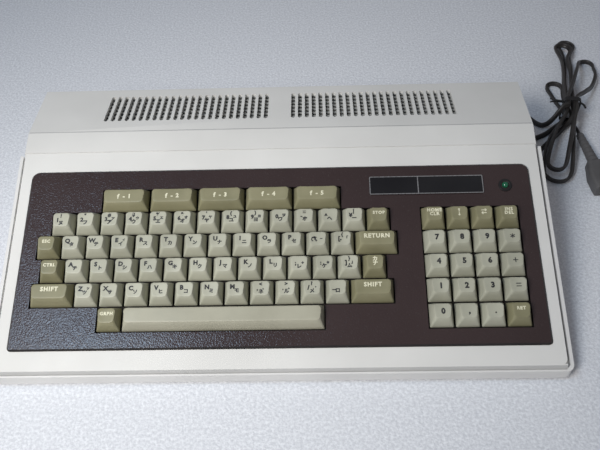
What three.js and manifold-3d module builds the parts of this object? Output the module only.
// A wedge-shaped home computer of about 1980 with its keyboard built in. Millimetres, +Z up,
// +X to the right of the person typing, +Y to the back, origin on the table under the middle.
import * as THREE from "three";
import { ConvexGeometry } from "three/addons/geometries/ConvexGeometry.js";
import { mergeVertices } from "three/addons/utils/BufferGeometryUtils.js";
import Module from "manifold-3d";

const wasm = await Module();
wasm.setup();

// Driving dimensions of the case
const caseWidth = 430;
const caseDepth = 260;
const deckSlopeDegrees = 18.86;
const deckFrontHeight = 17.8;
const hoodDepth = 86.8;
const stripRun = 19.8;
const stripRise = 4;
const hoodFall = 8.5;
const wall = 2.5;
const seatGap = 0.3;
const overrun = 2;

// Case details
const footHeight = 4;
const footRadius = 8;
const footInset = 26;
const rimFrontHeight = 14;
const grooveWidth = 2.7;
const groovePitchDrop = 6;
const ledgeThickness = 2.2;
const skirtGap = 1;
const sideSeamDrop = 7.5;
const frontLean = 1.3;
const frontLipThickness = 1.2;
const frontLipDepth = 2.4;
const caseCornerRadius = 5;
const roomCornerRadius = 3;
const deckCornerRadius = 5;
const hoodFrontNarrowing = 4.4;
const hoodTopNarrowing = 3.5;
const hoodRearNarrowing = 0.7;
const rearLean = 0.8;
const rearEdgeDrop = 2;
const creaseGroove = 0.8;

// Ventilation slots
const ventCount = 24;
const ventPitch = 6;
const ventWidth = 3.5;
const ventCentreGap = 23.4;
const ventFrontMargin = 16.2;
const ventRearMargin = 11.3;
const ventEndChamfer = 1.1;
const screenThickness = 1.5;
const screenMargin = 4;
const screenBarCount = 7;
const screenBarShare = 0.42;
const floorVentCount = 9;
const floorVentLength = 30;
const floorVentPitch = 8;

// Keyboard bezel
const bezelSideMargin = 14;
const bezelFrontMargin = 14.6;
const bezelRearMargin = 18.6;
const bezelThickness = 2;
const bezelFrontRadius = 3;
const bezelRearRadius = 6.5;
const bezelEdge = 1.4;
const windowRadius = 1.5;
const bezelLap = 3.5;
const keySideMargin = 12.9;
const keyFrontMargin = 13.15;
const keyRearMargin = 17.95;
const openingMargin = 0.3;
const bossGap = 1;
const bossSize = 6;

// Keys, with widths and places as shares of one key pitch
const fieldShare = 19.75;
const padStartShare = 15.75;
const wideKeyShare = 1.75;
const functionKeyShare = 2;
const spaceBarShare = 8;
const rowCount = 6;
const capGap = 1.65;
const capSkirtHeight = 1;
const capTopHeight = 10.3;
const capFrontInset = 4.9;
const capRearInset = 2;
const capSideInsetFront = 3.1;
const capSideInsetRear = 2.5;
const capWall = 1.3;
const dishDepth = 0.6;
const stemSize = 4;
const keyTravel = 4;
const switchSize = 14;
const switchClearance = 0.5;
const switchBottom = 11.8;
const frameTop = 6.5;
const frameThickness = 1.5;
const frameInset = 3.8;
const circuitThickness = 1.6;
const keyBoardInset = 9;

// Badge and power light on the bezel
const badgeWidth = 90;
const badgeDepth = 15.5;
const badgeThickness = 1;
const badgeRight = 38;
const badgeRearMargin = 10.5;
const lightRight = 20.6;
const lightRearMargin = 19.5;
const lightRadius = 2.6;
const lightCollarRadius = 5.2;
const lightCollarHeight = 0.9;
const lightDomeHeight = 2.4;
const lightFlange = 1;

// Boards and power supply
const boardHeight = 14;
const boardSideGap = 9;
const boardDepth = 128;
const boardRearGap = 10;
const postRadius = 3.5;
const postInset = 8;
const chipHeight = 4.2;
const chipDepth = 9;
const chipLength = 30;
const chipColumns = 5;
const chipRows = 4;
const chipBlockFront = 14;
const chipRowPitch = 18;
const chipColumnPitch = 40;
const chipSideMargin = 26;
const supplyGap = 9;
const supplyRearGap = 2;
const capacitorRadius = 11;
const capacitorHeight = 20;
const finCount = 5;
const finThickness = 1.6;
const finPitch = 6;
const finHeight = 17;
const finDepth = 34;
const transformerWidth = 62;
const transformerDepth = 42;
const transformerHeight = 40;
const transformerRearGap = 2.2;
const transformerSideGap = 34;
const coilBulge = 5;
const coilShare = 0.6;
const ribbonWidth = 42;
const ribbonThickness = 1;
const ribbonCentreX = 44;

// Rear connectors, switch and button
const tongueReach = 7.6;
const slotRise = 8;
const slotDrop = 5.6;
const slotSideGap = 4;
const printerTongueWidth = 48;
const expansionTongueWidth = 68;
const socketRadius = 8.5;
const socketWall = 1.4;
const socketDepth = 17;
const socketCup = 7.5;
const resetHeight = 26;
const resetRadius = 3.6;
const resetLength = 11;
const resetTravelGap = 4;
const resetHousing = 11;
const switchDrop = 22;
const rockerWidth = 10.4;
const rockerHalfHeight = 8;
const rockerFace = 5.4;
const rockerNotch = 1.2;
const rockerBack = 2.5;
const rockerBackHalf = 5;
const rockerRestDegrees = 8;
const rockerPinRadius = 1.5;
const rockerPinReach = 1.2;
const rockerPivotInset = 7.2;
const rockerClearance = 1.3;
const switchBodyWall = 1.5;
const switchBodyDepth = 17;

// Places across the case, as shares of half its width
const placeShares = {
  expansion: -0.6605, printer: -0.2698, firstSocket: 0.0186, socketPitch: 0.1209, reset: 0.3721,
  boardRight: 0.3907, powerSwitch: 0.6977, cord: 0.8605, floorVent: 0.28,
};

// Mains cord
const cordDiameter = 5.4;
const cordSides = 8;
const cordHeight = 16;
const cordHoleRadius = 6;
const reliefFlange = 2.4;
const reliefCollarRadius = 7.6;
const reliefCollar = 3;
const reliefLength = 26;
const reliefTipRadius = 4;
const tableGap = 0.05;
const freeCordRoute = [
  [185, 156.3, 16], [185, 163, 15.8], [185.4, 172, 13], [187.4, 181, 8], [192, 189, 4.2],
  [200, 195, 2.85], [210, 197, 2.75], [220, 194.5, 2.75], [228.5, 188.5, 2.75],
  [235, 180.5, 2.75], [240, 171.5, 2.75], [244, 162.5, 2.75], [248.2, 155, 2.75],
];

// Hank of spare cord, tied at its waist
const hankX = 283.5;
const hankY = 157.5;
const hankTurnDegrees = 11.5;
const strandGap = 1;
const columnGap = 2;
const waistHalf = 6;
const waistRampShare = 3;
const nearRunShare = 6;
const tipSteps = 6;
const runSteps = 3;
const hankSides = 6;
const neckHalf = 3.4;
const neckReachShare = 2.2;
const bowShares = [0.6, 1, 0.8];
const rearLoops = [
  { lean: -13, length: 55, tip: 7.8, bow: [-2, 0] },
  { lean: 1.8, length: 130, tip: 7.8, bow: null },
  { lean: -0.8, length: 114, tip: 7.8, bow: null },
  { lean: 14.5, length: 101, tip: 7.8, bow: [8, 0] },
];
const frontLoops = [
  { lean: 36, length: 64.5, tip: 8.5, bow: [1, -4] },
  { lean: 8.5, length: 93, tip: 12, bow: [-5.5, 0] },
  { lean: 10.5, length: 86, tip: 7.8, bow: [-3, 0] },
];
const rearSinkShares = [0, 1, 0.85, 1];
const rearSinkStart = 62;
const rearSinkRun = 32;
const sideSinkShares = [0, 0, 0, 2];
const sideSinkStart = 6;
const sideSinkRun = 13;
const sideSinkAlong = 12;
const sideSinkAlongRun = 30;
const frontSinkShares = [0, 1, 0.85];
const frontSinkStart = 55;
const frontSinkRun = 22;
const lowClimbStart = 22;
const lowClimbRun = 13;
const plugStartX = 287.2;
const plugStartY = 127.3;
const plugTurnDegrees = 5.1;
const tailRoute = [[286.9, 139.5, 5.2], [286.4, 145.5, 3.7]];
const leadRoute = [
  [274.8, 151.9, 23.8], [270, 149.2, 19], [265, 146.4, 11.8], [260, 145.6, 5.8],
  [255.3, 147, 2.9], [251.3, 150.4, 2.75], [248.4, 154.7, 2.75],
];
const tieWidth = 5;
const tieThickness = 1.4;
const tieTailLength = 15;
const tieTailWidth = 2.4;

// Plug
const plugReliefLength = 41;
const plugReliefRadius = 3.9;
const plugReliefEndRadius = 5.6;
const plugRibCount = 6;
const plugRibDepth = 1;
const plugBodyLength = 34;
const plugBodyWidth = 25;
const plugNeckWidth = 17;
const plugThickness = 13.8;
const bladeSpan = 12.7;
const bladeWidth = 6.3;
const bladeThickness = 1.5;
const bladeLength = 17;

// Places worked out from the sizes above
const deckSlope = THREE.MathUtils.degToRad(deckSlopeDegrees);
const halfWidth = caseWidth / 2;
const halfDepth = caseDepth / 2;
const caseBottom = footHeight + seatGap;
const floorTop = caseBottom + wall;
const skirtDepth = deckFrontHeight - floorTop - skirtGap;
const deckFrontY = wall + seatGap - halfDepth;
const lipInside = frontLipThickness - halfDepth;
const lipBottom = rimFrontHeight - frontLipDepth;
const creaseY = halfDepth - hoodDepth;
const deckLength = (creaseY - deckFrontY) / Math.cos(deckSlope);
const creaseZ = deckFrontHeight + deckLength * Math.sin(deckSlope);
const stripEndY = creaseY + stripRun;
const stripEndZ = creaseZ + stripRise;
const rearTopZ = stripEndZ - hoodFall;
const sideSeamHeight = rearTopZ - rearEdgeDrop - sideSeamDrop;
const plateauHalf = halfWidth - wall - grooveWidth;
const rearWallInside = halfDepth - wall;
const bezelHalf = halfWidth - bezelSideMargin;
const bezelFront = bezelFrontMargin;
const bezelRear = deckLength - bezelRearMargin;
const bezelTop = seatGap + bezelThickness;
const bossInset = bezelLap + bossGap + bossSize / 2;
const fieldHalf = bezelHalf - keySideMargin;
const keyPitch = (fieldHalf + fieldHalf) / fieldShare;
const rowPitch = (bezelRear - bezelFront - keyFrontMargin - keyRearMargin) / rowCount;
const boardTop = boardHeight + circuitThickness;
const boardRear = halfDepth - boardRearGap;
const boardFront = boardRear - boardDepth;
const boardLeft = boardSideGap - halfWidth;
const boardRight = placeShares.boardRight * halfWidth;
const printerX = placeShares.printer * halfWidth;
const expansionX = placeShares.expansion * halfWidth;
const resetX = placeShares.reset * halfWidth;
const switchX = placeShares.powerSwitch * halfWidth;
const switchHeight = sideSeamHeight - switchDrop;
const cordX = placeShares.cord * halfWidth;
const floorVentX = placeShares.floorVent * halfWidth;
const switchBodyFront = rearWallInside - seatGap - switchBodyDepth;
const transformerRear = switchBodyFront - transformerRearGap - coilBulge;
const transformerFront = transformerRear - transformerDepth;
const supplyRear = transformerFront - coilBulge - supplyRearGap;
const circuitTop = -switchBottom - seatGap;
const stemReach = switchBottom - keyTravel - seatGap;
const switchTop = keyTravel - capSkirtHeight + switchClearance;
const cordRadius = cordDiameter / 2;
const strandPitch = cordDiameter + strandGap;
const columnHalf = (cordDiameter + columnGap) / 2;
const plugPlace = [plugStartX, plugStartY, tableGap + plugThickness / 2];
const socketNames = ["monochrome_video_socket", "color_video_socket", "cassette_socket"];
const deckMatrix = new THREE.Matrix4().makeRotationX(deckSlope);
deckMatrix.setPosition(0, deckFrontY, deckFrontHeight);

// Solids from three.js geometry, joined and cut

function solid(geometry) {
  const bare = geometry.clone();
  bare.deleteAttribute("normal");
  bare.deleteAttribute("uv");
  const merged = mergeVertices(bare);
  const index = merged.index.array;
  const corners = [];
  for (let i = 0; i < index.length; i += 3) {
    const [a, b, c] = [index[i], index[i + 1], index[i + 2]];
    if (a !== b && b !== c && c !== a) corners.push(a, b, c);
  }
  const vertProperties = new Float32Array(merged.attributes.position.array);
  const triVerts = new Uint32Array(corners);
  return new wasm.Manifold(new wasm.Mesh({ numProp: 3, vertProperties, triVerts }));
}

function geometryOf(body) {
  const { vertProperties, triVerts } = body.getMesh();
  const geometry = new THREE.BufferGeometry();
  geometry.setAttribute("position", new THREE.BufferAttribute(vertProperties, 3));
  geometry.setIndex(new THREE.BufferAttribute(triVerts, 1));
  geometry.computeVertexNormals();
  return geometry;
}

function joined(bodies) {
  return bodies.reduce((whole, body) => whole.add(body));
}

function cutBy(body, cutters) {
  return cutters.reduce((rest, cutter) => rest.subtract(cutter), body);
}

function block([x0, x1], [y0, y1], [z0, z1]) {
  const box = new THREE.BoxGeometry(x1 - x0, y1 - y0, z1 - z0);
  return solid(box.translate((x0 + x1) / 2, (y0 + y1) / 2, (z0 + z1) / 2));
}

function around(centre, half) {
  return [centre - half, centre + half];
}

function polygon(points) {
  return new THREE.Shape(points.map(([a, b]) => new THREE.Vector2(a, b)));
}

// A rectangle with round corners, those at the rear with a radius of their own where it is given
function roundedRect([x0, x1], [y0, y1], front, rear = front) {
  const shape = new THREE.Shape();
  const quarter = Math.PI / 2;
  shape.absarc(x1 - front, y0 + front, front, -quarter, 0);
  shape.absarc(x1 - rear, y1 - rear, rear, 0, quarter);
  shape.absarc(x0 + rear, y1 - rear, rear, quarter, Math.PI);
  shape.absarc(x0 + front, y0 + front, front, Math.PI, Math.PI + quarter);
  return shape;
}

function slotShape(x, [y0, y1], half, chamfer) {
  return polygon([
    [x - half + chamfer, y0], [x + half - chamfer, y0], [x + half, y0 + chamfer], [x + half, y1 - chamfer],
    [x + half - chamfer, y1], [x - half + chamfer, y1], [x - half, y1 - chamfer], [x - half, y0 + chamfer],
  ]);
}

// A shape drawn in X and Y, raised along Z
function upright(shape, [z0, z1]) {
  const options = { depth: z1 - z0, bevelEnabled: false, curveSegments: 4 };
  return solid(new THREE.ExtrudeGeometry(shape, options).translate(0, 0, z0));
}

// The same with its upper edge cut off
function bevelled(shape, [z0, z1], edge) {
  const options = {
    depth: z1 - z0, curveSegments: 4,
    bevelThickness: edge, bevelSize: edge, bevelOffset: -edge, bevelSegments: 1,
  };
  const whole = solid(new THREE.ExtrudeGeometry(shape, options).translate(0, 0, z0 - edge));
  return whole.intersect(upright(shape, [z0, z1 + overrun]));
}

// A shape drawn in Y and Z, drawn out along X
function sideways(shape, [x0, x1]) {
  const options = { depth: x1 - x0, bevelEnabled: false, curveSegments: 4 };
  const turn = new THREE.Matrix4().makeBasis(
    new THREE.Vector3(0, 1, 0), new THREE.Vector3(0, 0, 1), new THREE.Vector3(1, 0, 0));
  return solid(new THREE.ExtrudeGeometry(shape, options).applyMatrix4(turn).translate(x0, 0, 0));
}

function lyingRod(radius, [y0, y1], x, z, sides = 12) {
  const rod = new THREE.CylinderGeometry(radius, radius, y1 - y0, sides);
  return solid(rod.translate(x, (y0 + y1) / 2, z));
}

function standingRod(radius, [z0, z1], x, y, sides = 12) {
  const rod = new THREE.CylinderGeometry(radius, radius, z1 - z0, sides);
  return solid(rod.rotateX(Math.PI / 2).translate(x, y, (z0 + z1) / 2));
}

// Pairs of radius and distance along +Y, from the axis out and back to it
function turnedAlongY(profile, sides) {
  const points = profile.map(([radius, along]) => new THREE.Vector2(radius, along));
  return new THREE.LatheGeometry(points, sides);
}

function hullOf(points) {
  return solid(new ConvexGeometry(points.map(([x, y, z]) => new THREE.Vector3(x, y, z))));
}

// Case

function rimHeight(y) {
  return rimFrontHeight + (y + halfDepth) * Math.tan(deckSlope);
}

function deckBand([fromY, toY], topDrop, bottomDrop, half) {
  const deckHeight = (y) => deckFrontHeight + (y - deckFrontY) * Math.tan(deckSlope);
  return sideways(polygon([
    [fromY, deckHeight(fromY) - bottomDrop], [toY, deckHeight(toY) - bottomDrop],
    [toY, deckHeight(toY) - topDrop], [fromY, deckHeight(fromY) - topDrop],
  ]), [-half, half]);
}

// Sections of the hood from front to back, each with its half width; inset makes the inner skin
function hoodHull(inset, bottom) {
  const sections = [
    [creaseY + inset, bottom, halfWidth - inset],
    [creaseY + inset, creaseZ - inset, halfWidth - hoodFrontNarrowing - inset],
    [stripEndY, stripEndZ - inset, halfWidth - hoodTopNarrowing - inset],
    [halfDepth - rearLean - inset, rearTopZ - inset, halfWidth - hoodRearNarrowing - inset],
    [halfDepth - inset, rearTopZ - rearEdgeDrop - inset, halfWidth - inset],
    [halfDepth - inset, bottom, halfWidth - inset],
  ];
  return hullOf(sections.flatMap(([y, z, half]) => [[-half, y, z], [half, y, z]]));
}

function ventCentres() {
  const centres = [];
  for (let i = 0; i < ventCount; i += 1) {
    const x = ventCentreGap / 2 + i * ventPitch;
    centres.push(-x, x);
  }
  return centres;
}

function ventCutters() {
  const ys = [stripEndY + ventFrontMargin, halfDepth - rearLean - ventRearMargin];
  const zs = [sideSeamHeight, stripEndZ + overrun];
  return ventCentres().map((x) => upright(slotShape(x, ys, ventWidth / 2, ventEndChamfer), zs));
}

// Front of the deck, leaning out into the rebate behind the lip of the front wall
function deckFront() {
  const toe = lipBottom + seatGap;
  return sideways(polygon([
    [deckFrontY + wall / 2, toe], [deckFrontY + wall / 2, deckFrontHeight], [deckFrontY, deckFrontHeight],
    [deckFrontY - frontLean, rimFrontHeight], [deckFrontY - frontLean, toe],
  ]), around(0, halfWidth - caseCornerRadius - seatGap));
}

function upperCase() {
  const skirted = deckBand([deckFrontY, creaseY + seatGap], 0, skirtDepth, plateauHalf);
  const plan = roundedRect(around(0, plateauHalf), [deckFrontY, creaseY + hoodDepth], deckCornerRadius);
  const plateau = skirted.intersect(upright(plan, [0, stripEndZ]));
  const ledgeHalf = halfWidth - wall - seatGap;
  const ledgeBand = deckBand(
    [deckFrontY, creaseY + seatGap], groovePitchDrop, groovePitchDrop + ledgeThickness, ledgeHalf);
  const ledgePlan = roundedRect(
    around(0, ledgeHalf), [deckFrontY, creaseY + hoodDepth], roomCornerRadius - seatGap);
  const ledge = ledgeBand.intersect(upright(ledgePlan, [0, stripEndZ]));
  const shell = joined([plateau, ledge, deckFront(), hoodHull(0, sideSeamHeight + seatGap)]);
  const inside = deckBand(
    [deckFrontY + wall, creaseY + wall + overrun], wall / Math.cos(deckSlope), creaseZ, plateauHalf - wall);
  const crease = deckBand([creaseY - creaseGroove, creaseY], -overrun, creaseGroove, plateauHalf + overrun);
  const windowYs = [bezelFront + bezelLap, bezelRear - bezelLap];
  const windowShape = roundedRect(around(0, bezelHalf - bezelLap), windowYs, windowRadius);
  const window = upright(windowShape, [-wall - overrun, overrun]);
  const hollow = hoodHull(wall, sideSeamHeight - overrun);
  return cutBy(shell, [inside, hollow, crease, onDeck(window), ...ventCutters()]);
}

function onDeck(body) {
  return solid(geometryOf(body).applyMatrix4(deckMatrix));
}

function ventScreen() {
  const fall = (stripEndZ - rearTopZ) / (halfDepth - rearLean - stripEndY);
  const top = (y) => stripEndZ - wall - seatGap - (y - stripEndY) * fall;
  const front = stripEndY + ventFrontMargin - screenMargin;
  const rear = halfDepth - rearLean - ventRearMargin + screenMargin;
  const half = ventCentreGap / 2 + (ventCount - 1) * ventPitch + screenMargin;
  const sheet = sideways(polygon([
    [front, top(front) - screenThickness], [rear, top(rear) - screenThickness],
    [rear, top(rear)], [front, top(front)],
  ]), around(0, half));
  return cutBy(sheet, screenCutters(front + screenMargin, rear - screenMargin, half - screenMargin / 2));
}

function screenCutters(front, rear, half) {
  const pitch = (rear - front) / screenBarCount;
  const inner = ventCentreGap / 2 - ventWidth / 2;
  const cutters = [];
  for (let i = 0; i < screenBarCount; i += 1) {
    const middle = front + pitch * (i + 1 / 2);
    const ys = around(middle, pitch * (1 - screenBarShare) / 2);
    for (const xs of [[-half, -inner], [inner, half]]) {
      cutters.push(block(xs, ys, [sideSeamHeight, stripEndZ]));
    }
  }
  return cutters;
}

function postPlaces() {
  const places = [];
  for (const y of [boardFront + postInset, boardRear - postInset]) {
    for (const x of [boardLeft + postInset, boardRight - postInset]) places.push([x, y]);
  }
  const supplyLeft = boardRight + supplyGap;
  for (const y of [boardFront + postInset, supplyRear - postInset]) {
    for (const x of [supplyLeft + postInset, halfWidth - boardSideGap - postInset]) places.push([x, y]);
  }
  return places;
}

function floorVentCutters() {
  const cutters = [];
  const ys = around((boardFront + boardRear) / 2, floorVentLength / 2);
  for (let i = 0; i < floorVentCount; i += 1) {
    const offset = (i - (floorVentCount - 1) / 2) * floorVentPitch;
    for (const x of [-floorVentX + offset, floorVentX + offset]) {
      cutters.push(block(around(x, ventWidth / 2), ys, [0, floorTop + overrun]));
    }
  }
  return cutters;
}

function tongueSlot(x, width) {
  const zs = [boardHeight - slotDrop, boardTop + slotRise];
  return block(around(x, width / 2 + slotSideGap), [rearWallInside - overrun, halfDepth + overrun], zs);
}

function rearCutters() {
  const through = [rearWallInside - overrun, halfDepth + overrun];
  const rockerHalf = rockerHalfHeight + rockerClearance;
  const rocker = block(
    around(switchX, rockerWidth / 2 + seatGap), through, around(switchHeight, rockerHalf));
  const sockets = socketNames.map(
    (_, i) => lyingRod(socketRadius + seatGap, through, socketX(i), socketHeight(), 16));
  return [
    tongueSlot(printerX, printerTongueWidth), tongueSlot(expansionX, expansionTongueWidth),
    rocker, ...sockets, lyingRod(resetRadius + seatGap, through, resetX, resetHeight),
    lyingRod(cordHoleRadius, through, cordX, cordHeight),
  ];
}

function lowerCase() {
  const rimEnd = creaseY - seatGap;
  const side = sideways(polygon([
    [-halfDepth, caseBottom], [halfDepth, caseBottom], [halfDepth, sideSeamHeight], [rimEnd, sideSeamHeight],
    [rimEnd, rimHeight(rimEnd)], [-halfDepth, rimFrontHeight],
  ]), around(0, halfWidth));
  const plan = upright(
    roundedRect(around(0, halfWidth), around(0, halfDepth), caseCornerRadius), [0, creaseZ + overrun]);
  const roomZs = [floorTop, creaseZ + overrun];
  const room = upright(
    roundedRect(around(0, halfWidth - wall), around(0, halfDepth - wall), roomCornerRadius), roomZs);
  const rebate = block(
    around(0, halfWidth - caseCornerRadius), [lipInside, wall - halfDepth + seatGap], [lipBottom, creaseZ]);
  const posts = postPlaces().map(
    ([x, y]) => standingRod(postRadius, [caseBottom + wall / 2, boardHeight - seatGap], x, y, 8));
  const shell = joined([side.intersect(plan).subtract(room), ...posts]);
  return cutBy(shell, [rebate, ...rearCutters(), ...floorVentCutters()]);
}

function foot() {
  const lip = footHeight / 4;
  const profile = [
    [0, 0], [footRadius - lip, 0], [footRadius, lip], [footRadius, footHeight], [0, footHeight],
  ];
  return solid(turnedAlongY(profile, 16).rotateX(Math.PI / 2));
}

// Keyboard

function plainKeys(count) {
  return Array.from({ length: count }, () => ["", 1]);
}

// Rows from the front, each with the share of the pitch where it starts
const keyRowShares = [
  { start: 2.75, keys: [["graph_key", 1], ["space_bar", spaceBarShare]] },
  {
    start: 0,
    keys: [["left_shift_key", wideKeyShare], ...plainKeys(11), ["right_shift_key", wideKeyShare]],
  },
  { start: 0.25, keys: [["control_key", 1], ...plainKeys(12), ["kana_key", 1]] },
  { start: 0, keys: [["escape_key", 1], ...plainKeys(12), ["return_key", wideKeyShare]] },
  { start: 0.5, keys: [...plainKeys(13), ["stop_key", 1]] },
  { start: 2.5, keys: ["f1", "f2", "f3", "f4", "f5"].map((name) => [`${name}_key`, functionKeyShare]) },
];

const padRowNames = [
  ["0", "comma", "point", "enter"], ["1", "2", "3", "equals"], ["4", "5", "6", "plus"],
  ["7", "8", "9", "times"], ["home", "up_down", "left_right", "insert"],
];

function rowMiddle(row) {
  return bezelFront + keyFrontMargin + (row + 1 / 2) * rowPitch;
}

function placeRow(row, start, keys) {
  let edge = start * keyPitch - fieldHalf;
  return keys.map(([name, share]) => {
    const width = share * keyPitch;
    edge += width;
    return { name, x: edge - width / 2, y: rowMiddle(row), width: width - capGap };
  });
}

function allKeys() {
  const main = keyRowShares.flatMap(({ start, keys }, row) => placeRow(row, start, keys));
  const pad = padRowNames.flatMap(
    (names, row) => placeRow(row, padStartShare, names.map((name) => [`pad_${name}_key`, 1])));
  return [...main, ...pad];
}

function capHull(width, thinning, bottom, top) {
  const half = width / 2 - thinning;
  const depth = (rowPitch - capGap) / 2 - thinning;
  const [front, rear] = [half - capSideInsetFront, half - capSideInsetRear];
  return hullOf([
    [-half, -depth, bottom], [half, -depth, bottom], [half, depth, bottom], [-half, depth, bottom],
    [-front, capFrontInset - depth, top], [front, capFrontInset - depth, top],
    [rear, depth - capRearInset, top], [-rear, depth - capRearInset, top],
  ]);
}

// Shallow hollow across the top of a cap, with its axis from front to back
function dishCutter(width) {
  const half = width / 2 - capSideInsetRear;
  const radius = (half * half + dishDepth * dishDepth) / (2 * dishDepth);
  const reach = Math.asin(half / radius);
  const shape = new THREE.Shape();
  const down = -Math.PI / 2;
  shape.absarc(0, capTopHeight - dishDepth + radius, radius, down - reach, down + reach);
  shape.lineTo(half, capTopHeight + overrun);
  shape.lineTo(-half, capTopHeight + overrun);
  const options = { depth: rowPitch, bevelEnabled: false, curveSegments: 3 };
  return solid(new THREE.ExtrudeGeometry(shape, options).rotateX(Math.PI / 2).translate(0, rowPitch / 2, 0));
}

// Hollow cap with the stem that slides in its switch
function keycap(width) {
  const outer = capHull(width, 0, capSkirtHeight, capTopHeight).subtract(dishCutter(width));
  const ceiling = capTopHeight - capWall - dishDepth;
  const room = capHull(width, capWall, capSkirtHeight - seatGap, ceiling);
  const stem = block(around(0, stemSize / 2), around(0, stemSize / 2), [-stemReach, ceiling + capWall / 2]);
  return outer.subtract(room).add(stem);
}

function switchBlock(x, y) {
  const half = switchSize / 2;
  return block(around(x, half), around(y, half), [-switchBottom, -switchTop]);
}

function stemBore(x, y) {
  const half = stemSize / 2 + seatGap;
  return block(around(x, half), around(y, half), [-switchBottom - overrun, overrun]);
}

// Steel frame with all its switches; the character keys are one with their switches
function keyboardFrame(keys) {
  const frame = block(
    around(0, bezelHalf - frameInset), [bezelFront + frameInset, bezelRear - frameInset],
    [-frameTop - frameThickness, -frameTop]);
  const switches = keys.map(({ x, y }) => switchBlock(x, y));
  const moving = keys.filter(({ name }) => name);
  const bored = cutBy(joined([frame, ...switches]), moving.map(({ x, y }) => stemBore(x, y)));
  const plain = keys.filter(({ name }) => !name);
  return joined([bored, ...plain.map(({ x, y, width }) => keycap(width).translate([x, y, 0]))]);
}

// Circuit board under the switches, with the flat cable that is soldered to it
function keyboardBoard() {
  const front = bezelFront + keyBoardInset;
  const rear = bezelRear - keyBoardInset;
  const board = onDeck(block(
    around(0, bezelHalf - keyBoardInset), [front, rear], [circuitTop - circuitThickness, circuitTop]));
  const under = new THREE.Vector3(0, rear, circuitTop - circuitThickness / 2).applyMatrix4(deckMatrix);
  const foldY = under.y + ribbonThickness;
  const landing = boardTop + seatGap;
  const ribbon = sideways(polygon([
    [foldY - ribbonThickness, landing], [foldY + chipDepth, landing],
    [foldY + chipDepth, landing + ribbonThickness], [foldY, landing + ribbonThickness],
    [foldY, under.z + ribbonThickness], [under.y - ribbonThickness, under.z + ribbonThickness / 2],
    [under.y - ribbonThickness, under.z - ribbonThickness / 2],
    [foldY - ribbonThickness, under.z - ribbonThickness / 2],
  ]), around(ribbonCentreX, ribbonWidth / 2));
  return board.add(ribbon);
}

function openingCutters() {
  const cutters = keyRowShares.map(({ start, keys }, row) => {
    const share = keys.reduce((sum, [, width]) => sum + width, 0);
    return rowOpening(row, start, share);
  });
  padRowNames.forEach((names, row) => cutters.push(rowOpening(row, padStartShare, names.length)));
  return cutters;
}

function rowOpening(row, start, share) {
  const left = start * keyPitch - fieldHalf - openingMargin;
  const right = (start + share) * keyPitch - fieldHalf + openingMargin;
  const ys = around(rowMiddle(row), rowPitch / 2 + openingMargin);
  return block([left, right], ys, [-overrun, bezelTop + overrun]);
}

function lightPlace() {
  return [bezelHalf - lightRight, bezelRear - lightRearMargin];
}

function keyboardBezel() {
  const outline = roundedRect(
    around(0, bezelHalf), [bezelFront, bezelRear], bezelFrontRadius, bezelRearRadius);
  const plate = bevelled(outline, [seatGap, bezelTop], bezelEdge);
  const bosses = [bezelFront + bossInset, bezelRear - bossInset].flatMap((y) => {
    const zs = [seatGap - frameTop, bezelTop - bezelThickness / 2];
    return [-bezelHalf + bossInset, bezelHalf - bossInset].map(
      (x) => block(around(x, bossSize / 2), around(y, bossSize / 2), zs));
  });
  const [x, y] = lightPlace();
  const collarTop = bezelTop + lightCollarHeight;
  const collar = standingRod(lightCollarRadius, [seatGap, collarTop], x, y, 20);
  const hole = standingRod(lightRadius + seatGap, [-overrun, collarTop + overrun], x, y, 16);
  return cutBy(joined([plate, ...bosses, collar]), [hole, ...openingCutters()]);
}

function badgePlate() {
  const right = bezelHalf - badgeRight;
  const rear = bezelRear - badgeRearMargin;
  const zs = [bezelTop + seatGap, bezelTop + seatGap + badgeThickness];
  return upright(roundedRect([right - badgeWidth, right], [rear - badgeDepth, rear], badgeThickness), zs);
}

function powerLight() {
  const top = bezelTop + lightCollarHeight;
  const profile = [
    [0, -lightFlange], [lightRadius + lightFlange, -lightFlange], [lightRadius + lightFlange, 0],
    [lightRadius, 0], [lightRadius, top], [lightRadius * Math.SQRT1_2, top + lightDomeHeight * Math.SQRT1_2],
    [0, top + lightDomeHeight],
  ];
  const [x, y] = lightPlace();
  return solid(turnedAlongY(profile, 16).rotateX(Math.PI / 2)).translate([x, y, 0]);
}

// Boards, power supply and rear fittings

function chips() {
  const rows = [];
  for (let row = 0; row < chipRows; row += 1) {
    for (let column = 0; column < chipColumns; column += 1) {
      const x = boardLeft + chipSideMargin + column * chipColumnPitch;
      const y = boardFront + chipBlockFront + (row + 1 / 2) * chipRowPitch;
      const zs = [boardTop - circuitThickness / 2, boardTop + chipHeight];
      rows.push(block(around(x, chipLength / 2), around(y, chipDepth / 2), zs));
    }
  }
  return rows;
}

function mainBoard() {
  const zs = [boardHeight, boardTop];
  const board = block([boardLeft, boardRight], [boardFront, boardRear], zs);
  const tongueYs = [boardRear - overrun, boardRear + tongueReach];
  const tongues = [[printerX, printerTongueWidth], [expansionX, expansionTongueWidth]].map(
    ([x, width]) => block(around(x, width / 2), tongueYs, zs));
  const resetYs = [rearWallInside - resetTravelGap - resetLength - seatGap, rearWallInside - resetTravelGap];
  const housing = block(
    around(resetX, resetHousing / 2), resetYs,
    [boardTop - circuitThickness / 2, resetHeight + resetHousing / 2]);
  const bore = lyingRod(
    resetRadius + seatGap, [resetYs[0] - overrun, rearWallInside + overrun], resetX, resetHeight);
  return cutBy(joined([board, ...tongues, housing, ...chips()]), [bore]);
}

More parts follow.
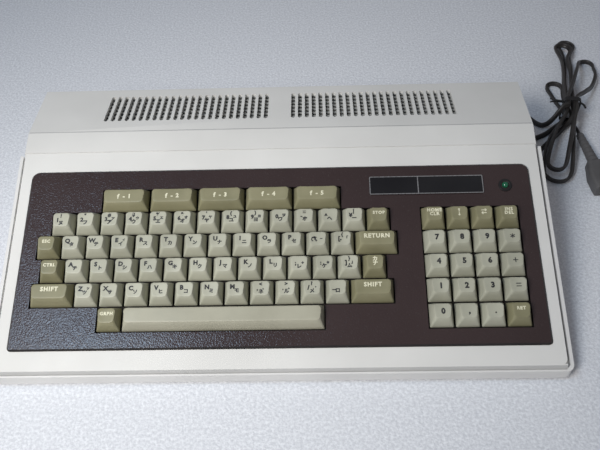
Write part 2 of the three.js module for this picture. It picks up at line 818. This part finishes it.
function powerBoard() {
  const left = boardRight + supplyGap;
  const right = halfWidth - boardSideGap;
  const board = block([left, right], [boardFront, supplyRear], [boardHeight, boardTop]);
  const rise = boardTop - circuitThickness / 2;
  const capacitorY = (boardFront + supplyRear) / 2;
  const capacitors = [1, 2].map((place) => standingRod(
    capacitorRadius, [rise, boardTop + capacitorHeight],
    right - place * (postInset + capacitorRadius + postInset), capacitorY, 16));
  const fins = Array.from({ length: finCount }, (_, i) => {
    const x = left + postInset + postInset + i * finPitch;
    const ys = around(capacitorY, finDepth / 2);
    return block(around(x, finThickness / 2), ys, [rise, boardTop + finHeight]);
  });
  return joined([board, ...capacitors, ...fins]);
}

function transformer() {
  const right = halfWidth - transformerSideGap;
  const base = floorTop + seatGap;
  const core = block(
    [right - transformerWidth, right], [transformerFront, transformerRear],
    [base, base + transformerHeight]);
  const middleX = right - transformerWidth / 2;
  const middleY = (transformerFront + transformerRear) / 2;
  const half = transformerWidth * coilShare / 2;
  const coil = block(
    around(middleX, half), around(middleY, transformerDepth / 2 + coilBulge),
    [base + coilBulge, base + transformerHeight - coilBulge]);
  return core.add(coil);
}

function socketHeight() {
  return boardTop + seatGap + socketRadius;
}

function socketX(place) {
  return (placeShares.firstSocket + place * placeShares.socketPitch) * halfWidth;
}

function socket(x) {
  const mouth = halfDepth - seatGap;
  const cup = solid(turnedAlongY([
    [0, mouth - socketDepth], [socketRadius, mouth - socketDepth], [socketRadius, mouth],
    [socketRadius - socketWall, mouth], [socketRadius - socketWall, mouth - socketCup],
    [0, mouth - socketCup],
  ], 16));
  return cup.translate([x, 0, socketHeight()]);
}

function resetButton() {
  const face = halfDepth - seatGap;
  return lyingRod(resetRadius, [face - resetLength, face], resetX, resetHeight);
}

function rockerPins(radius, reach) {
  const half = rockerWidth / 2 + seatGap + reach;
  return lyingRod(radius, [-half, half], 0, 0, 16).rotate([0, 0, 90]);
}

function switchBody() {
  const rear = rearWallInside - seatGap;
  const halfX = rockerWidth / 2 + seatGap;
  const halfZ = rockerHalfHeight + rockerClearance;
  const outer = block(
    around(switchX, halfX + switchBodyWall), [switchBodyFront, rear],
    around(switchHeight, halfZ + switchBodyWall));
  const room = block(
    around(switchX, halfX), [switchBodyFront + switchBodyWall, rear + overrun],
    around(switchHeight, halfZ));
  const bores = rockerPins(rockerPinRadius + seatGap, switchBodyWall + overrun);
  const pivot = [switchX, halfDepth - rockerPivotInset, switchHeight];
  return cutBy(outer, [room, bores.translate(pivot)]);
}

// Shape about its pivot, which lies on the X axis through the origin
function rocker() {
  const shape = polygon([
    [-rockerBack, -rockerBackHalf], [rockerFace, -rockerHalfHeight], [rockerFace - rockerNotch, 0],
    [rockerFace, rockerHalfHeight], [-rockerBack, rockerBackHalf],
  ]);
  return sideways(shape, around(0, rockerWidth / 2)).add(rockerPins(rockerPinRadius, rockerPinReach));
}

// Mains cord, hank, tie and plug

function strainRelief() {
  const inner = rearWallInside - seatGap;
  const outer = halfDepth + seatGap;
  const tip = halfDepth + reliefLength;
  const neck = cordHoleRadius - seatGap;
  const profile = [
    [0, inner - reliefFlange], [reliefCollarRadius, inner - reliefFlange], [reliefCollarRadius, inner],
    [neck, inner], [neck, outer], [reliefCollarRadius, outer], [reliefCollarRadius, outer + reliefCollar],
    [neck, outer + reliefCollar], [reliefTipRadius, tip], [0, tip],
  ];
  return solid(turnedAlongY(profile, 12)).translate([cordX, 0, cordHeight]);
}

function curveThrough(points) {
  return new THREE.CatmullRomCurve3(points.map((point) => new THREE.Vector3(...point)));
}

function ringShape(radius, sides) {
  const points = Array.from({ length: sides }, (_, i) => {
    const turn = 2 * Math.PI * (i + 1 / 2) / sides;
    return [radius * Math.cos(turn), radius * Math.sin(turn)];
  });
  return polygon(points);
}

function freeCord() {
  const path = curveThrough(freeCordRoute);
  const steps = Math.ceil(path.getLength() / (2 * cordDiameter));
  return solid(new THREE.ExtrudeGeometry(ringShape(cordRadius, cordSides), { steps, extrudePath: path }));
}

function heightOfLevel(level) {
  return tableGap + cordRadius + level * strandPitch;
}

function waistLift(along) {
  const lift = tieThickness + seatGap;
  const reach = waistRampShare * waistHalf;
  return lift * Math.max(0, 1 - Math.max(0, Math.abs(along) - waistHalf) / reach);
}

// One loop from the waist, round its tip and back; side is 1 behind the tie, -1 before it. Its first
// run bows aside, or both runs close up to a neck behind the tip
function loopPoints({ lean, length, tip, bow }, side, firstAcross, heightAt) {
  const turn = THREE.MathUtils.degToRad(lean);
  const middle = [side * Math.sin(turn) * (length - tip), side * Math.cos(turn) * (length - tip)];
  const edge = (swing) => {
    const angle = swing - turn;
    const across = Math.sign(firstAcross) * tip * Math.cos(angle);
    return [middle[0] + across, middle[1] + side * tip * Math.sin(angle)];
  };
  const neck = (sign) => {
    const half = sign * side * Math.sign(firstAcross) * neckHalf;
    const reach = length - tip - neckReachShare * tip;
    const across = side * (Math.sin(turn) * reach + Math.cos(turn) * half);
    return [across, side * (Math.cos(turn) * reach - Math.sin(turn) * half)];
  };
  const first = [firstAcross, side * waistHalf];
  const last = [-firstAcross, side * waistHalf];
  const arc = Array.from({ length: tipSteps + 1 }, (_, i) => edge(Math.PI * i / tipSteps));
  const outward = run(first, arc[0], neck(1), bow);
  const homeward = run(last, arc[tipSteps], neck(-1), bow && [0, 0]).reverse();
  const plan = [first, ...outward, ...arc, ...homeward, last];
  return plan.map(([across, along], i) => [across, along, heightAt(i / (plan.length - 1), across, along)]);
}

// Places between the waist and a tip
function run(from, to, neckPlace, bow) {
  if (!bow) return [...between(from, neckPlace, runSteps - 1), neckPlace];
  return between(from, to, runSteps).map(
    ([across, along], i) => [across + bow[0] * bowShares[i], along + bow[1] * bowShares[i]]);
}

function between(from, to, count) {
  return Array.from({ length: count }, (_, i) => {
    const share = (i + 1) / (count + 1);
    return [from[0] + (to[0] - from[0]) * share, from[1] + (to[1] - from[1]) * share];
  });
}

function easeShare(value) {
  const held = Math.min(1, Math.max(0, value));
  return held * held * (3 - 2 * held);
}

function hankWorld([across, along, height]) {
  const turn = THREE.MathUtils.degToRad(hankTurnDegrees);
  const x = hankX + across * Math.cos(turn) + along * Math.sin(turn);
  const y = hankY - across * Math.sin(turn) + along * Math.cos(turn);
  return new THREE.Vector3(x, y, height);
}

// How far a rear loop lies below its height at the waist
function rearSink(level, across, along) {
  const beyond = rearSinkShares[level] * easeShare((along - rearSinkStart) / rearSinkRun);
  const aside = easeShare((across - sideSinkStart) / sideSinkRun)
    * easeShare((along - sideSinkAlong) / sideSinkAlongRun);
  return strandPitch * (beyond + sideSinkShares[level] * aside);
}

// How far a front loop lies above its first height at the waist; the lowest one climbs at its end
function frontClimb(level, share, along) {
  const homeward = share > 1 / 2;
  if (level === 0) {
    return homeward ? strandPitch * easeShare((lowClimbStart + along) / lowClimbRun) : 0;
  }
  const sink = frontSinkShares[level] * easeShare((-along - frontSinkStart) / frontSinkRun);
  return strandPitch * (easeShare(share + share - 1) - sink);
}

function hankPoints() {
  const column = columnHalf;
  const points = [];
  rearLoops.forEach((loop, level) => {
    points.push(...loopPoints(loop, 1, column, (share, across, along) =>
      heightOfLevel(level) + waistLift(along) - rearSink(level, across, along)));
    if (level < frontLoops.length) {
      points.push(...loopPoints(frontLoops[level], -1, -column, (share, across, along) =>
        heightOfLevel(level) + waistLift(along) + frontClimb(level, share, along)));
    }
  });
  const firstLevel = heightOfLevel(0) + waistLift(0);
  const lastLevel = heightOfLevel(rearLoops.length - 1) + waistLift(0);
  const coiled = [[column, -waistHalf, firstLevel], ...points, [-column, -waistHalf, lastLevel]];
  const lead = leadRoute.map((point) => new THREE.Vector3(...point));
  return [...tailPoints(), ...coiled.map(hankWorld), ...lead];
}

function plugDirection() {
  const turn = THREE.MathUtils.degToRad(plugTurnDegrees);
  return new THREE.Vector3(Math.sin(turn), -Math.cos(turn), 0);
}

function tailPoints() {
  const start = new THREE.Vector3(...plugPlace);
  const straight = [seatGap, cordDiameter + seatGap].map(
    (distance) => start.clone().addScaledVector(plugDirection(), -distance));
  return [...straight, ...tailRoute.map((point) => new THREE.Vector3(...point))];
}

// Tube with one ring of points at each place of a route, closed by a fan at both ends
function tubeThrough(places, radius, sides) {
  const rings = [];
  let side = new THREE.Vector3(0, 0, 1);
  places.forEach((place, i) => {
    const before = places[Math.max(0, i - 1)];
    const after = places[Math.min(places.length - 1, i + 1)];
    const along = after.clone().sub(before).normalize();
    side = side.clone().addScaledVector(along, -side.dot(along)).normalize();
    const other = along.clone().cross(side);
    rings.push(...Array.from({ length: sides }, (_, k) => {
      const turn = 2 * Math.PI * k / sides;
      const rim = place.clone().addScaledVector(side, radius * Math.cos(turn));
      return rim.addScaledVector(other, radius * Math.sin(turn));
    }));
  });
  return tubeGeometry([...rings, places[0], places[places.length - 1]], places.length, sides);
}

function tubeGeometry(points, count, sides) {
  const corners = [];
  const start = count * sides;
  const end = start + 1;
  const lastRing = start - sides;
  for (let k = 0; k < sides; k += 1) {
    const next = (k + 1) % sides;
    corners.push(start, next, k, end, lastRing + k, lastRing + next);
    for (let i = 0; i < count - 1; i += 1) {
      const [a, b] = [i * sides + k, i * sides + next];
      corners.push(a, b, b + sides, a, b + sides, a + sides);
    }
  }
  const geometry = new THREE.BufferGeometry().setFromPoints(points);
  geometry.setIndex(corners);
  return geometry;
}

function segmentDistance(a, b, c, d) {
  let least = Infinity;
  const samples = 6;
  for (let i = 0; i <= samples; i += 1) {
    const place = a.clone().lerp(b, i / samples);
    const near = new THREE.Line3(c, d).closestPointToPoint(place, true, new THREE.Vector3());
    least = Math.min(least, near.distanceTo(place));
  }
  return least;
}

// Least clear space between stretches of the tube that lie further apart along it than a near run
function leastGap(places, radius) {
  const lengths = places.map((place, i) => (i ? place.distanceTo(places[i - 1]) : 0));
  let least = Infinity;
  for (let i = 0; i < places.length - 1; i += 1) {
    let travelled = 0;
    for (let j = i + 2; j < places.length - 1; j += 1) {
      travelled += lengths[j];
      if (travelled > nearRunShare * radius) {
        const apart = segmentDistance(places[i], places[i + 1], places[j], places[j + 1]);
        least = Math.min(least, apart - radius - radius);
      }
    }
  }
  return least;
}

function cordHank() {
  const places = hankPoints();
  console.log(`hank: least gap to itself ${leastGap(places, cordRadius).toFixed(2)} mm`);
  return solid(tubeThrough(places, cordRadius, hankSides));
}

function cordTie() {
  const clear = seatGap + tableGap;
  const innerHalf = columnHalf + cordRadius + clear;
  const bottom = tableGap;
  const top = heightOfLevel(rearLoops.length - 1) + waistLift(0) + cordRadius + clear + tieThickness;
  const inner = roundedRect(around(0, innerHalf), [bottom + tieThickness, top - tieThickness], cordRadius);
  const outer = roundedRect(around(0, innerHalf + tieThickness), [bottom, top], cordRadius + tieThickness);
  const zs = around(0, tieWidth / 2);
  const band = upright(outer, zs).subtract(upright(inner, [zs[0] - overrun, zs[1] + overrun]));
  const tailXs = [innerHalf + tieThickness / 2, innerHalf + tieTailLength];
  const tails = [1, -1].map((side) => {
    const xs = side > 0 ? tailXs : tailXs.map((x) => -x).reverse();
    return block(xs, around(top - cordDiameter, tieTailWidth / 2), around(0, tieThickness / 2));
  });
  const turn = THREE.MathUtils.degToRad(hankTurnDegrees);
  const stand = new THREE.Matrix4().makeRotationZ(-turn);
  stand.multiply(new THREE.Matrix4().makeRotationX(Math.PI / 2));
  stand.setPosition(hankX, hankY, 0);
  return solid(geometryOf(joined([band, ...tails])).applyMatrix4(stand));
}

// Moulded plug with its ribbed strain relief, drawn along +Y from the cord to the blades
function powerPlug() {
  const pitch = plugReliefLength / plugRibCount;
  const ribs = Array.from({ length: plugRibCount }, (_, i) => {
    const share = i / (plugRibCount - 1);
    const radius = plugReliefRadius + (plugReliefEndRadius - plugReliefRadius) * share;
    const along = i * pitch;
    return [[radius, along], [radius, along + pitch / 2], [radius - plugRibDepth, along + pitch / 2],
      [radius - plugRibDepth, along + pitch]];
  }).flat();
  const relief = solid(turnedAlongY([[0, 0], ...ribs, [0, plugReliefLength]], 10));
  const half = plugThickness / 2;
  const rear = plugReliefLength - plugRibDepth;
  const outline = polygon([
    [-plugNeckWidth / 2, rear], [plugNeckWidth / 2, rear], [plugBodyWidth / 2, rear + plugBodyLength / 2],
    [plugBodyWidth / 2, rear + plugBodyLength], [-plugBodyWidth / 2, rear + plugBodyLength],
    [-plugBodyWidth / 2, rear + plugBodyLength / 2],
  ]);
  const body = upright(outline, [-half, half]);
  const tip = rear + plugBodyLength;
  const blades = [-1, 1].map((side) => block(
    around(side * bladeSpan / 2, bladeThickness / 2), [tip - overrun, tip + bladeLength],
    around(0, bladeWidth / 2)));
  return joined([relief, body, ...blades]);
}

// Assembly

const ivory = new THREE.MeshStandardMaterial({ color: 0xdfdccf, roughness: 0.55, metalness: 0 });
const ivoryBase = new THREE.MeshStandardMaterial({ color: 0xd8d5c8, roughness: 0.6, metalness: 0 });
const darkBrown = new THREE.MeshStandardMaterial({ color: 0x2e2523, roughness: 0.5, metalness: 0 });
const black = new THREE.MeshStandardMaterial({ color: 0x101012, roughness: 0.4, metalness: 0 });
const rubber = new THREE.MeshStandardMaterial({ color: 0x2b2a29, roughness: 0.8, metalness: 0 });
const cordBrown = new THREE.MeshStandardMaterial({ color: 0x2e2a28, roughness: 0.6, metalness: 0 });
const plugGrey = new THREE.MeshStandardMaterial({ color: 0x4f4e4c, roughness: 0.6, metalness: 0 });
const khaki = new THREE.MeshStandardMaterial({ color: 0xa49d78, roughness: 0.5, metalness: 0 });
const keyIvory = new THREE.MeshStandardMaterial({ color: 0xd9d9c6, roughness: 0.5, metalness: 0 });
const boardGreen = new THREE.MeshStandardMaterial({ color: 0x2f6b3c, roughness: 0.5, metalness: 0 });
const lampGreen = new THREE.MeshStandardMaterial({ color: 0x1f7a4d, roughness: 0.2, metalness: 0 });
const steel = new THREE.MeshStandardMaterial({ color: 0xb5b6b8, roughness: 0.4, metalness: 0.9 });

function add(name, body, material, parent) {
  const mesh = new THREE.Mesh(geometryOf(body), material);
  mesh.name = name;
  parent.add(mesh);
  return mesh;
}

function addFeet(parent) {
  const places = { front_left: [-1, -1], front_right: [1, -1], rear_left: [-1, 1], rear_right: [1, 1] };
  for (const [name, [sideX, sideY]] of Object.entries(places)) {
    const mesh = add(`${name}_foot`, foot(), rubber, parent);
    mesh.position.set(sideX * (halfWidth - footInset), sideY * (halfDepth - footInset), 0);
  }
}

function addKeyboard(deck) {
  const keys = allKeys();
  add("keyboard_frame", keyboardFrame(keys), steel, deck);
  for (const { name, x, y, width } of keys.filter((key) => key.name)) {
    const digits = /^pad_(\d|comma|point|equals|plus|times)_key$/;
    const material = digits.test(name) || name === "space_bar" ? keyIvory : khaki;
    add(name, keycap(width), material, deck).position.set(x, y, 0);
  }
}

function addDeck(parent) {
  const deck = new THREE.Group();
  deck.position.set(0, deckFrontY, deckFrontHeight);
  deck.rotation.x = deckSlope;
  add("keyboard_bezel", keyboardBezel(), darkBrown, deck);
  add("badge_plate", badgePlate(), black, deck);
  add("power_light", powerLight(), lampGreen, deck);
  addKeyboard(deck);
  parent.add(deck);
}

function addInside(parent) {
  add("keyboard_board", keyboardBoard(), boardGreen, parent);
  add("main_board", mainBoard(), boardGreen, parent);
  add("power_board", powerBoard(), boardGreen, parent);
  add("transformer", transformer(), steel, parent);
  add("power_switch_body", switchBody(), black, parent);
  const pivot = add("power_rocker", rocker(), black, parent);
  pivot.position.set(switchX, halfDepth - rockerPivotInset, switchHeight);
  pivot.rotation.x = THREE.MathUtils.degToRad(rockerRestDegrees);
  add("reset_button", resetButton(), black, parent);
  socketNames.forEach((name, i) => add(name, socket(socketX(i)), black, parent));
}

function addCord(parent) {
  add("strain_relief", strainRelief(), rubber, parent);
  add("power_cord", freeCord(), cordBrown, parent);
  add("cord_hank", cordHank(), cordBrown, parent);
  add("cord_tie", cordTie(), black, parent);
  const plug = add("power_plug", powerPlug(), plugGrey, parent);
  plug.position.set(...plugPlace);
  plug.rotation.z = Math.PI + THREE.MathUtils.degToRad(plugTurnDegrees);
}

function buildComputer() {
  const computer = new THREE.Group();
  add("lower_case", lowerCase(), ivoryBase, computer);
  add("upper_case", upperCase(), ivory, computer);
  add("vent_screen", ventScreen(), darkBrown, computer);
  addFeet(computer);
  addDeck(computer);
  addInside(computer);
  addCord(computer);
  return computer;
}

export default buildComputer();
